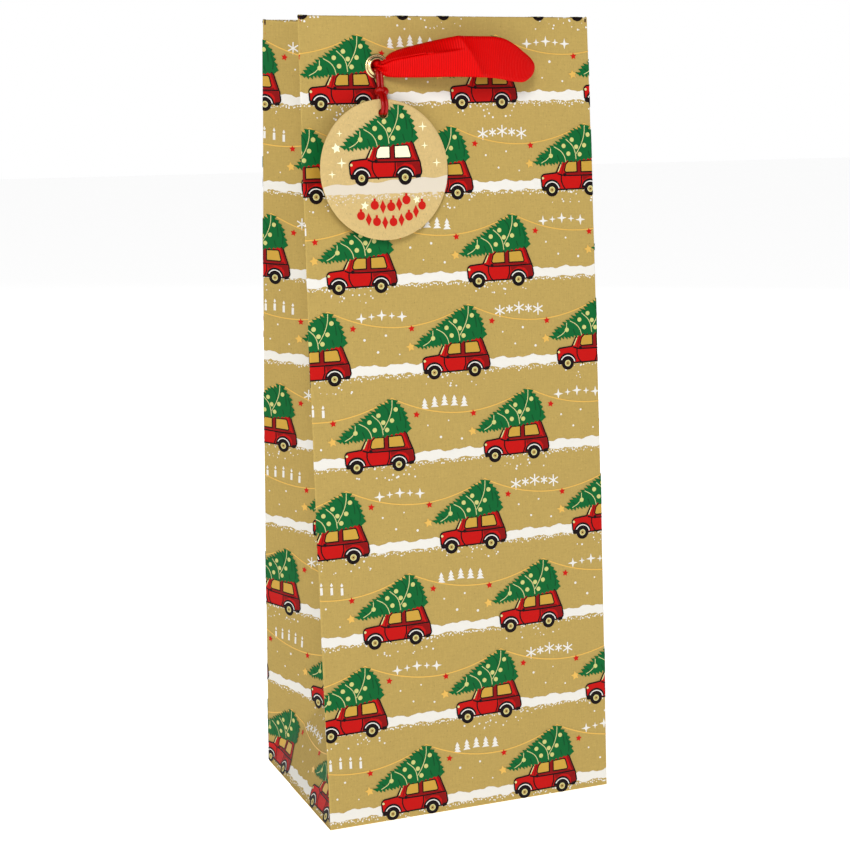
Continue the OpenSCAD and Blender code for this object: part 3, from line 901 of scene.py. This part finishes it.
def row_art(row, low, high, rng):
    """One row of the pattern round the bag, as {layer: polygons} in flat sheet places."""
    art = {}
    base = TOP_ROW_V - ROW_PITCH * row - (0.7 if row == 0 else 0)
    phase = row_phase(row)
    shapes = motif()
    first = math.floor((low - phase) / PERIOD) - 1
    last = math.ceil((high - phase) / PERIOD)
    for k in range(first, last + 1):
        x0 = phase + PERIOD * k
        for layer, polygons in shapes.items():
            put(art, layer, *[[(x0 + x, base + y) for x, y in polygon] for polygon in polygons])
        sag = [
            (x0 + 20.6 + PERIOD * t, base + 30 - 7.8 * (1 - (2 * t - 1) ** 2))
            for t in np.linspace(0, 1, 25)
        ]
        put(art, "garland", *stroke(sag, 0.46))
        put(art, "star", star(x0 + 30.8, base + 22.6, 1.5, 5, 0.5, 80))
        put(art, "star", star(x0 + 55.6, base + 21.4, 1.5, 5, 0.5, 95))
        put(art, "snow", *ornaments((k + 2 * row) % 4, x0 + 34.5, base + 27.0))
        for x, y in ((35.5, 17.8), (50.2, 11.2), (44.6, 19.2), (41.0, 12.6)):
            put(art, "snow", disc(x0 + x, base + y, rng.uniform(0.3, 0.6), 8))
        for _ in range(22):
            x, y = x0 + rng.uniform(1, 30), base + rng.uniform(-3.6, 2.6)
            put(art, "snow", disc(x, y, rng.uniform(0.15, 0.5), 6))
    xs = np.arange(low, high + 0.5, 1.0)
    crest = 7.1 + 0.35 * np.sin(xs * 0.43 + row) + 0.3 * np.sin(xs * 0.91 + 2 * row) + 0.15 * np.sin(xs * 1.9)
    hem = 3.3 + 0.3 * np.sin(xs * 0.67 + 3 * row) + np.array([rng.uniform(-0.35, 0.35) for _ in xs])
    lower = [(x, base + y) for x, y in zip(xs, hem)]
    upper = [(x, base + y) for x, y in zip(xs[::-1], crest[::-1])]
    put(art, "snow", lower + upper)
    for x in np.arange(low, high, 0.55):
        x = x + rng.uniform(-0.4, 0.4)
        y = base + 3.1 - abs(rng.gauss(0, 0.75))
        put(art, "snow", disc(x, y, rng.uniform(0.15, 0.4), 6))
    return art


def clip_band(polygon, axis, low, high):
    """A polygon cut to low..high along one axis (Sutherland-Hodgman)."""
    for limit, sign in ((low, 1), (high, -1)):
        out = []
        for a, b in zip(polygon, polygon[1:] + polygon[:1]):
            da, db = sign * (a[axis] - limit), sign * (b[axis] - limit)
            if da >= 0:
                out.append(a)
            if (da > 0) != (db > 0) and da != db:
                t = da / (da - db)
                out.append((a[0] + t * (b[0] - a[0]), a[1] + t * (b[1] - a[1])))
        polygon = out
        if len(polygon) < 3:
            return []
    return polygon


def turning(polygon):
    """Twice the signed area: positive when the corners run anticlockwise."""
    return sum(a[0] * b[1] - b[0] * a[1] for a, b in zip(polygon, polygon[1:] + polygon[:1]))


def split_edges(polygon, longest=2.5):
    """The polygon with its long edges split, so that it can bend with the paper."""
    out = []
    for a, b in zip(polygon, polygon[1:] + polygon[:1]):
        parts = max(1, math.ceil(math.hypot(b[0] - a[0], b[1] - a[1]) / longest))
        out += [(a[0] + (b[0] - a[0]) * k / parts, a[1] + (b[1] - a[1]) * k / parts) for k in range(parts)]
    return out


def triangulate(polygons, extra_edges, spacing):
    """Triangles that fill the polygons, cut along the extra edges and at points a spacing apart."""
    points, edges, faces = [], [], []
    for polygon in polygons:
        if turning(polygon) < 0:
            polygon = polygon[::-1]
        polygon = split_edges(polygon)
        start = len(points)
        points += polygon
        faces.append(list(range(start, start + len(polygon))))
    count = len(points)
    box = np.array(points)
    low, high = box.min(0), box.max(0)
    for a, b in extra_edges:
        edges.append((len(points), len(points) + 1))
        points += [a, b]
    if spacing:
        for x in np.arange(math.floor(low[0] / spacing) * spacing, high[0], spacing):
            for y in np.arange(math.floor(low[1] / spacing) * spacing, high[1], spacing):
                points.append((x + 0.013, y + 0.017))
    out_points, _, out_faces, _, _, origin = delaunay_2d_cdt(
        [Vector(p) for p in points], edges, faces, 0, 1e-5,
    )
    kept = [tuple(face) for face, source in zip(out_faces, origin) if source]
    used, kept = renumbered(kept)
    return [tuple(out_points[i]) for i in used], kept


FOLDS = (-D, 0, W, W + D, 2 * W + D, -HALF, W + HALF)
CREASES = sorted({fold + d for fold in FOLDS for d in (-0.9, -0.5, 0, 0.5, 0.9)})
# Each wall's print: its start and end along the sheet, its lowest place, and its shift
PRINTED_WALLS = [
    (-D, 0, 0.9, GUSSET_SHIFT), (0, W, -HALF, 0), (W, W + D, 0.9, 0), (W + D, ROUND - D, -HALF, 0),
]
WIDE_INKS = ("snow", "green", "red", "deep_red")  # their areas need points inside to bend
INNER_STEP = 3.0


def crease_edges(low, high):
    """Lines that the art is cut along, so that it follows the folds: low and high are corners."""
    edges = [((f, low[1]), (f, high[1])) for f in CREASES if low[0] < f < high[0]]
    for h in (-0.6, 0, 0.6, H - 0.8, H - 0.4, H, H + 0.4, H + 0.9, H + 1.7, H + 2.5):
        if low[1] < h < high[1]:
            edges.append(((low[0], h), (high[0], h)))
    for foot in (-D, W):
        if low[1] < HALF and low[0] < foot + D and high[0] > foot:
            edges += [((foot, 0), (foot + HALF, HALF)), ((foot + HALF, HALF), (foot + D, 0))]
    return edges


def make_print():
    """Every ink of the pattern round the bag. The gussets' base flaps carry none."""
    rng = random.Random(7)
    low_s, high_s = -D - GUSSET_SHIFT, ROUND - D
    gathered = {layer: ([], []) for layer in LAYERS}
    top = H + HEM - 0.5
    for row in ROWS:
        for layer, polygons in row_art(row, low_s, high_s, rng).items():
            for left, right, bottom, shift in PRINTED_WALLS:
                moved = [[(x + shift, y) for x, y in polygon] for polygon in polygons]
                cut = [clip_band(clip_band(p, 0, left, right), 1, bottom, top) for p in moved]
                cut = [p for p in cut if len(p) > 2]
                if not cut:
                    continue
                corners = np.array([q for p in cut for q in p])
                edges = crease_edges(corners.min(0) - 0.5, corners.max(0) + 0.5)
                points, faces = triangulate(cut, edges, INNER_STEP if layer in WIDE_INKS else 0)
                flat, store = gathered[layer]
                start = len(flat)
                flat += points
                store += [tuple(start + i for i in face) for face in faces]
    for layer, (flat, faces) in gathered.items():
        height, material = LAYERS[layer]
        flat = np.array(flat)
        kept = [f for f in faces if on_paper(*flat[list(f)].mean(0))]
        points = on_bag(flat[:, 0], flat[:, 1], height)
        build("print_" + layer, points, kept, material, "bag")


make_print()

# ---- eyelets ----
# Radius and height out from the paper, round the section of one eyelet
EYELET_SECTION = [
    (5.0, 0.02), (5.06, 0.3), (4.9, 0.6), (4.5, 0.74), (4.12, 0.6), (3.9, 0.5), (3.66, 0.66),
    (3.25, 0.92), (2.85, 0.9), (2.52, 0.62), (2.42, 0.2), (2.4, -0.8), (2.42, -1.6), (2.6, -2.05),
    (3.1, -2.3), (3.7, -2.15), (4.0, -1.8), (3.9, -1.64), (2.8, -1.6), (2.76, -0.8), (2.76, 0.0),
]


def make_eyelets():
    section, _ = curve_through(EYELET_SECTION + EYELET_SECTION[:1], 72)
    section = section[:-1]
    turns = 72
    for panel, turn in (("front", lambda p: p), ("back", turned)):
        for side, sign in (("left", -1), ("right", 1)):
            x = sign * abs(EYELET_X) * (1 if panel == "front" else -1)
            a = np.linspace(0, 2 * np.pi, turns, endpoint=False)
            r, out = section[:, 0][:, None], section[:, 1][:, None]
            points = turn(panel_point(x + r * np.cos(a), out + 0 * a, EYELET_V + r * np.sin(a)))
            n = len(section)
            faces = []
            for i in range(n):
                this, following = i * turns, (i + 1) % n * turns
                for j in range(turns):
                    k = (j + 1) % turns
                    faces.append((this + j, following + j, following + k, this + k))
            piece = build(
                f"{panel}_{side}_brass_eyelet", points.reshape(-1, 3), faces, BRASS, "bag",
            )
            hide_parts(f"{panel}_{side}_eyelet")


make_eyelets()

# ---- ribbon handles ----
RIBBON_W = 19.0
RIB_HEIGHT = 0.07
RIBBON_T = 0.45
# Stations along the strap, each its lower edge, middle and upper edge: across, out from the panel,
# and rise above the eyelets
STRAP = [
    [(-31.0, -0.4, -1.2), (-31.0, -0.4, 0.0), (-31.0, -0.4, 1.2)],
    [(-30.7, 1.3, -1.7), (-30.6, 1.4, 0.0), (-30.7, 1.2, 1.6)],
    [(-29.4, 2.9, -3.7), (-29.0, 3.4, -0.4), (-29.3, 2.3, 3.4)],
    [(-26.6, 4.7, -4.6), (-26.0, 5.6, 0.4), (-26.2, 3.8, 6.2)],
    [(-21.0, 7.7, -4.9), (-21.0, 8.9, 1.0), (-21.0, 6.6, 8.2)],
    [(-14.0, 11.4, -5.2), (-14.0, 12.6, 1.8), (-14.0, 10.4, 9.6)],
    [(-6.0, 15.0, -5.3), (-6.0, 15.8, 2.1), (-6.0, 14.3, 10.1)],
    [(3.0, 17.2, -5.5), (3.0, 17.7, 2.4), (3.0, 17.0, 10.3)],
    [(12.5, 17.1, -6.1), (12.5, 17.6, 2.2), (12.5, 17.1, 10.4)],
    [(18.9, 15.7, -6.9), (19.3, 16.0, 1.6), (18.5, 15.6, 9.6)],
    [(24.6, 13.8, -7.5), (25.6, 13.6, 0.6), (23.6, 13.2, 7.6)],
    [(28.6, 11.9, -7.2), (30.6, 11.0, -0.2), (27.5, 10.6, 5.4)],
    [(31.8, 9.4, -5.4), (34.0, 8.4, -0.6), (30.9, 8.1, 3.8)],
    [(32.9, 6.9, -3.8), (34.2, 6.0, -0.1), (32.2, 6.0, 3.3)],
    [(32.8, 4.6, -2.6), (33.7, 3.8, 0.1), (32.4, 4.0, 2.6)],
    [(31.9, 2.6, -1.9), (32.0, 2.0, 0.0), (31.8, 2.3, 1.9)],
    [(31.2, 0.8, -1.5), (31.2, 0.6, 0.0), (31.2, 0.8, 1.5)],
    [(31.0, -0.4, -1.2), (31.0, -0.4, 0.0), (31.0, -0.4, 1.2)],
]


def strap_points(samples, across):
    """Points of the ribbon strap in the panel's frame, and its flat places."""
    middle, far = curve_through([station[1] for station in STRAP], samples)
    turn = np.concatenate([[0], np.cumsum(np.linalg.norm(np.diff([s[1] for s in STRAP], axis=0), axis=1))])
    at = turn / turn[-1] * far[-1]
    length = far[-1]
    a = far[:, None]
    q = np.linspace(-1, 1, across)[None, :]
    rows = []
    for k in (0, 1, 2):
        line, along = curve_through([station[k] for station in STRAP], samples * 2)
        knots = np.array([np.argmin(np.linalg.norm(line - station[k], axis=1)) for station in STRAP])
        share = np.interp(far, at, along[knots])
        rows.append(np.stack([np.interp(share, along, line[:, c]) for c in range(3)], -1)[:, None, :])
    low, mid, high = rows
    half = np.linalg.norm(high - low, axis=-1) / 2
    gathered = smooth_step((9.2 - half) / 7)
    # Near the left eyelet the ribbon is pleated once: its upper part lies behind a folded edge
    pleat = smooth_step((0.50 - a / length) / 0.28) * smooth_step(a / 5)
    fold = 0.30
    behind = smooth_step((q - fold + 0.02) / 0.16)
    up = np.where(q < fold, q, q - (0.30 * pleat * np.sin(np.pi * np.clip((q - fold) / (1 - fold), 0, 1))))
    bend = mid + (high - low) / 2 * up[..., None] + (high + low - 2 * mid) / 2 * (up**2)[..., None]
    along_a = np.gradient(bend, axis=0)
    along_q = np.gradient(bend, axis=1)
    normal = np.cross(along_q, along_a)
    normal /= np.maximum(np.linalg.norm(normal, axis=-1, keepdims=True), 1e-9)
    ends = smooth_step((1.2 - np.minimum(a, length - a) / 9) / 1.2)
    pleats = 0.8 * ends * gathered * np.sin(2.6 * np.pi * q + 0.8)
    far_bend = a - 0.475 * length + 4.2 * q
    reach = np.where(far_bend < 0, 6.5, 3.4)
    crease = 2.3 * np.exp((0.4 - np.sqrt(far_bend**2 + 0.16)) / reach) * (1 - ends)
    waves = 0.2 * np.sin(0.19 * a + 1.3 * q) * (1 - ends)
    rolled = -0.35 * smooth_step((np.abs(q) - 0.88) / 0.12) * (1 - ends)
    ribs = RIB_HEIGHT * np.sin(2 * np.pi * a / RIB_PITCH)
    tilt = 5.5 * pleat * smooth_step(a / 24) * np.clip((q - fold) / (1 - fold), 0, 1)
    lift = pleats + crease + waves + rolled + ribs - 2.6 * behind * pleat
    points = bend + normal * lift[..., None]
    points[..., 1] -= tilt
    flat = np.stack(np.broadcast_arrays(a, q * RIBBON_W / 2), -1)
    return panel_point(points[..., 0], points[..., 1], EYELET_V + points[..., 2]), flat, length


def stop_knot(x):
    """A ribbon end knotted inside the bag, in the front panel's frame: the knot and its neck."""
    path = trefoil(4.3, 160, squash=0.75)
    knot, knot_faces = tube(path, 1.75, 14, 0.6, close=True)
    centre = panel_point(x, -(BAND + 0.7 + 5.0), EYELET_V)
    neck_line = [
        panel_point(x, 1.6, EYELET_V + 1.0), panel_point(x, 0.4, EYELET_V + 1.05),
        panel_point(x, -1.6, EYELET_V + 1.0), panel_point(x, -4.4, EYELET_V + 0.5),
    ]
    path, _ = curve_through(neck_line, 24)
    neck, neck_faces = tube(path, 1.16, 16, 0.95)
    hang = ((0.6, -8, -2), (1.4, -9, -5), (1.0, -9.4, -8.5))
    path, _ = curve_through([panel_point(x + a, b, EYELET_V + c) for a, b, c in hang], 14)
    tail, tail_faces = tube(path, 2.1, 14, 0.32)
    points = np.vstack([knot + centre, neck, tail])
    faces = list(knot_faces)
    faces += [tuple(i + len(knot) for i in f) for f in neck_faces]
    faces += [tuple(i + len(knot) + len(neck) for i in f) for f in tail_faces]
    return points, faces


def make_handles():
    samples, across = 560, 33
    for panel, turn in (("front", lambda p: p), ("back", turned)):
        points, flat, length = strap_points(samples, across)
        faces = grid_faces(samples, across)
        strap = build(
            f"{panel}_ribbon_strap", turn(points).reshape(-1, 3), faces, GROSGRAIN, None,
            flat.reshape(-1, 2),
        )
        thicken(strap, RIBBON_T, 0.0)
        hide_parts(f"{panel}_handle")
        start, end = (turn(panel_point(0, out, EYELET_V)) * MM for out in (1.4, 5.5))
        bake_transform(strap)
        for side, sign in (("left", -1), ("right", 1)):
            x = sign * abs(EYELET_X) * (1 if panel == "front" else -1)
            points, faces = stop_knot(x)
            uv = np.stack([np.arange(len(points)) * 0.02, np.arange(len(points)) % 14], -1)
            knot = build(
                f"{panel}_{side}_ribbon_knot", turn(points), faces, GROSGRAIN, "bag", uv,
            )
            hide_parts(f"{panel}_{side}_knot")


make_handles()

# ---- the tag ----
TAG_R = 28.0
TAG_T = 0.6
TAG_OUT = 5.2
TAG_V = EYELET_V - 41.2
TAG_TURN = math.radians(5)
TAG_HOLE = (0.0, TAG_R - 5.6)
TAG_HOLE_R = 2.0
MOTIF_SCALE = 1.08  # of the motif on the tag, and where its corner lies
MOTIF_X, MOTIF_Y = -15.6, -6.2


def on_tag(x, y, out):
    """A place on the tag, from its middle, lifted out from its middle plane."""
    x, y, out = (np.asarray(a, float) for a in (x, y, out))
    return panel_point(
        EYELET_X + x * math.cos(TAG_TURN) + out * math.sin(TAG_TURN),
        TAG_OUT - x * math.sin(TAG_TURN) + out * math.cos(TAG_TURN),
        TAG_V + y,
    )


def tag_card():
    """The card: a disc with softened edges and a punched hole, as rings from the hole outwards."""
    turns = 128
    a = np.linspace(0, 2 * np.pi, turns, endpoint=False)
    rim = np.stack([TAG_R * np.cos(a), TAG_R * np.sin(a)], -1)
    hole = np.stack([TAG_HOLE[0] + TAG_HOLE_R * np.cos(a), TAG_HOLE[1] + TAG_HOLE_R * np.sin(a)], -1)
    # share of the way from the hole to the rim, and height over the middle plane
    half = TAG_T / 2
    section = [(0.0, half - 0.1), (0.012, half - 0.02), (0.04, half), (0.3, half), (0.6, half), (0.9, half)]
    section += [(0.992, half), (0.998, half - 0.05), (1.0, half - 0.14)]
    section += [(s, -h) for s, h in reversed(section)]
    points = []
    for share, height in section:
        flat = hole + (rim - hole) * share
        points.append(on_tag(flat[:, 0], flat[:, 1], height))
    return np.vstack(points), grid_faces(len(section), turns, close=True, loop=True)


def tag_art():
    """The tag's picture: the pattern's motif, drawn larger, over a snow band with ornaments."""
    art = {}
    for layer, polygons in motif().items():
        art[layer] = [
            [(MOTIF_X + MOTIF_SCALE * x, MOTIF_Y + MOTIF_SCALE * y) for x, y in polygon]
            for polygon in polygons
        ]
    rng = random.Random(11)
    snow = art.setdefault("snow", [])
    xs = np.arange(-29, 29.5, 1.0)
    snow.append(
        [(x, -9.5 + rng.uniform(-0.3, 0.3)) for x in xs]
        + [(x, -4.5 + 0.055 * x + 0.4 * math.sin(0.5 * x)) for x in xs[::-1]]
    )
    for _ in range(150):
        x = rng.uniform(-27, 27)
        snow.append(disc(x, -9.8 - abs(rng.gauss(0, 1.5)), rng.uniform(0.15, 0.42), 6))
    gold = art["gold"]
    sparkles = (
        (-18.9, 3.0, 2.3), (17.2, 17.0, 2.1), (23.0, 2.4, 1.9), (-19.4, 14.6, 1.4), (17.8, 9.4, 1.6),
        (-23.2, -1.4, 1.7),
    )
    for x, y, r in sparkles:
        gold.append(star(x, y, r, 4, 0.22))
    gold += [star(-9.6, -14.0, 1.9, 5, 0.45, 80), star(13.4, -12.2, 1.7, 5, 0.45, 100)]
    art["star"] = tag_ornaments()
    return art


TAG_LAYERS = {**LAYERS, "snow": (0.05, TAG_SNOW), "gold": (0.17, SPARKLE), "window": (0.17, SPARKLE)}


def tag_ornaments():
    """Two curved rows of plain red ornaments: baubles with caps between diamonds."""
    out = []
    for count, radius, size in ((5, 16.4, 2.3), (9, 22.6, 2.2)):
        for k in range(count):
            angle = math.radians(-83 + (k - (count - 1) / 2) * 210 / radius)
            x, y = radius * math.cos(angle), 1.6 + radius * math.sin(angle)
            if k % 2:
                tall, wide = size * 1.2, size * 0.6
                out.append([(x, y + tall), (x + wide, y), (x, y - tall), (x - wide, y)])
            else:
                cap = y + size * 0.7
                out.append(disc(x, y, size * 0.8, 14))
                out.append(rectangle(x - 0.5, x + 0.5, cap, cap + 1.1))
    return out


def inside_tag(point):
    """True where the tag's card lies, a little in from its rim and its hole."""
    from_hole = math.hypot(point[0], point[1] - TAG_HOLE[1])
    return math.hypot(*point) < TAG_R - 0.05 and from_hole > TAG_HOLE_R + 0.1


def make_tag():
    points, faces = tag_card()
    card = build("round_gift_tag", points, faces, CARD, "tag")
    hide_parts("gift_tag")
    ring = disc(0, 0, TAG_R - 0.12, 120)
    punch = disc(TAG_HOLE[0], TAG_HOLE[1], TAG_HOLE_R + 0.15, 32)
    borders = [(loop[i], loop[(i + 1) % len(loop)]) for loop in (ring, punch) for i in range(len(loop))]
    for layer, polygons in tag_art().items():
        height, material = TAG_LAYERS[layer]
        places, triangles = triangulate(polygons, borders, 0)
        places = np.array(places)
        kept = [f for f in triangles if inside_tag(places[list(f)].mean(0))]
        used, kept = renumbered(kept)
        points = on_tag(places[used, 0], places[used, 1], TAG_T / 2 + height)
        build("tag_print_" + layer, points, kept, material, "tag")


make_tag()

# ---- the CAD pieces that stay ----
NODE_MATERIALS = {
    "side_seam_tab": PLAIN_KRAFT, "base_left_flap": PLAIN_KRAFT, "base_right_flap": PLAIN_KRAFT,
    "base_board": BOARD, "front_top_board": BOARD, "back_top_board": BOARD,
}
for node, material in NODE_MATERIALS.items():
    slots = frame["nodes"][node].data.materials
    slots.clear()
    slots.append(material)

# ---- studio ----
def area_light(name, at, towards, size, power):
    data = bpy.data.lights.new(name, "AREA")
    data.shape = "DISK"
    data.size = size
    data.energy = power
    light = bpy.data.objects.new(name, data)
    light.location = at
    light.rotation_mode = "QUATERNION"
    light.rotation_quaternion = (Vector(towards) - Vector(at)).to_track_quat("-Z", "Y")
    bpy.context.scene.collection.objects.link(light)


def make_sky(tree):
    """A white sky that dims overhead, so that the lights model the form."""
    background = tree.nodes["Background"]
    where = tree.nodes.new("ShaderNodeTexCoord")
    split = tree.nodes.new("ShaderNodeSeparateXYZ")
    ramp = tree.nodes.new("ShaderNodeValToRGB")
    ramp.color_ramp.elements[0].position = 0.19
    ramp.color_ramp.elements[0].color = grey(1.0)
    ramp.color_ramp.elements[1].position = 0.42
    ramp.color_ramp.elements[1].color = grey(0.06)
    tree.links.new(where.outputs["Generated"], split.inputs[0])
    tree.links.new(split.outputs["Z"], ramp.inputs[0])
    tree.links.new(ramp.outputs["Color"], background.inputs["Color"])
    background.inputs["Strength"].default_value = 1.0


def make_studio():
    scene = bpy.context.scene
    scene.view_settings.view_transform = "Standard"
    world = bpy.data.worlds.new("studio")
    scene.world = world
    world.use_nodes = True
    make_sky(world.node_tree)
    centre = (0, 0, 0.17)
    area_light("key", (-0.66, -1.37, 0.95), centre, 0.6, 14.0)
    area_light("back", (0.8, 1.3, 1.0), centre, 0.8, 9.0)
    size = 6
    floor = build(
        "floor", np.array([(-size, -size, 0), (size, -size, 0), (size, size, 0), (-size, size, 0)]) / MM,
        [(0, 1, 2, 3)], floor_material(), None, smooth=False,
    )


def floor_material():
    m = Shader("studio_floor", roughness=0.7, specular_ior_level=0.0, emission_strength=0.84)
    m.bsdf.inputs["Emission Color"].default_value = grey(1)
    cloud = m.noise((3, 3, 3), 2, 0.5, uv=False)
    m.set("Base Color", m.mix(cloud, grey(0.80), grey(0.82)))
    return m.material


make_studio()
